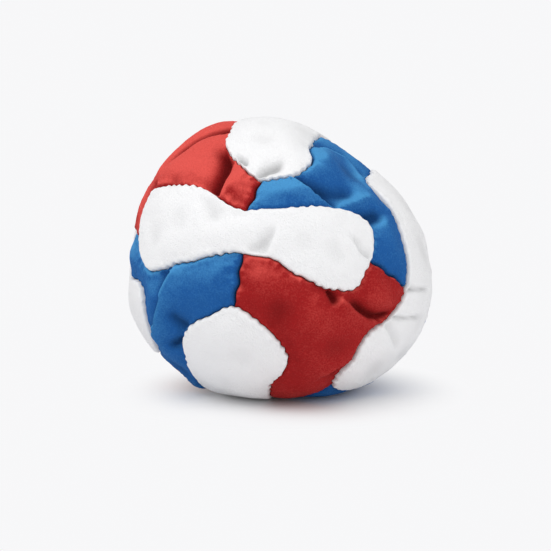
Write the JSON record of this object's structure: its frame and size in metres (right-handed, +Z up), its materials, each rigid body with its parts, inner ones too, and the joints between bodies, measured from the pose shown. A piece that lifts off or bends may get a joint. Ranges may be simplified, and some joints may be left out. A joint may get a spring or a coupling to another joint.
{
  "type": "footbag",
  "caption": "Pellet-filled kicking ball of sewn suede, with white dog-bone panels between red and blue corner panels, sitting slumped on a flattened base.",
  "frame": {"origin": "on the floor, under the middle of the bag's box", "axes": "+Z up, -Y towards the side that the picture shows, +X to the right of that view"},
  "size_m": [0.0536, 0.0538, 0.0485],
  "materials": {
    "white_suede": "soft napped synthetic suede",
    "red_suede": "soft napped synthetic suede",
    "blue_suede": "soft napped synthetic suede",
    "thread": "twisted polyester",
    "pellets": "moulded"
  },
  "bodies": {
    "root": {"white_bone_front": "white_suede", "white_bone_back": "white_suede", "white_bone_top": "white_suede", "white_bone_bottom": "white_suede", "white_bone_right": "white_suede", "white_bone_left": "white_suede", "red_panel_front_upper_left": "red_suede", "blue_panel_front_lower_left": "blue_suede", "blue_panel_back_upper_left": "blue_suede", "red_panel_back_lower_left": "red_suede", "blue_panel_front_upper_right": "blue_suede", "red_panel_front_lower_right": "red_suede", "red_panel_back_upper_right": "red_suede", "blue_panel_back_lower_right": "blue_suede", "thread_round_front_bone": "thread", "thread_round_back_bone": "thread", "thread_round_top_bone": "thread", "thread_round_bottom_bone": "thread", "thread_round_right_bone": "thread", "thread_round_left_bone": "thread", "thread_bottom_tip_to_front": "thread", "thread_top_tip_to_front": "thread", "thread_top_tip_to_back": "thread", "thread_bottom_tip_to_back": "thread", "thread_right_tip_to_top": "thread", "thread_left_tip_to_top": "thread", "thread_left_tip_to_bottom": "thread", "thread_right_tip_to_bottom": "thread", "thread_back_tip_to_right": "thread", "thread_front_tip_to_right": "thread", "thread_front_tip_to_left": "thread", "thread_back_tip_to_left": "thread", "pellet_filling": "pellets"}
  },
  "joints": []
}
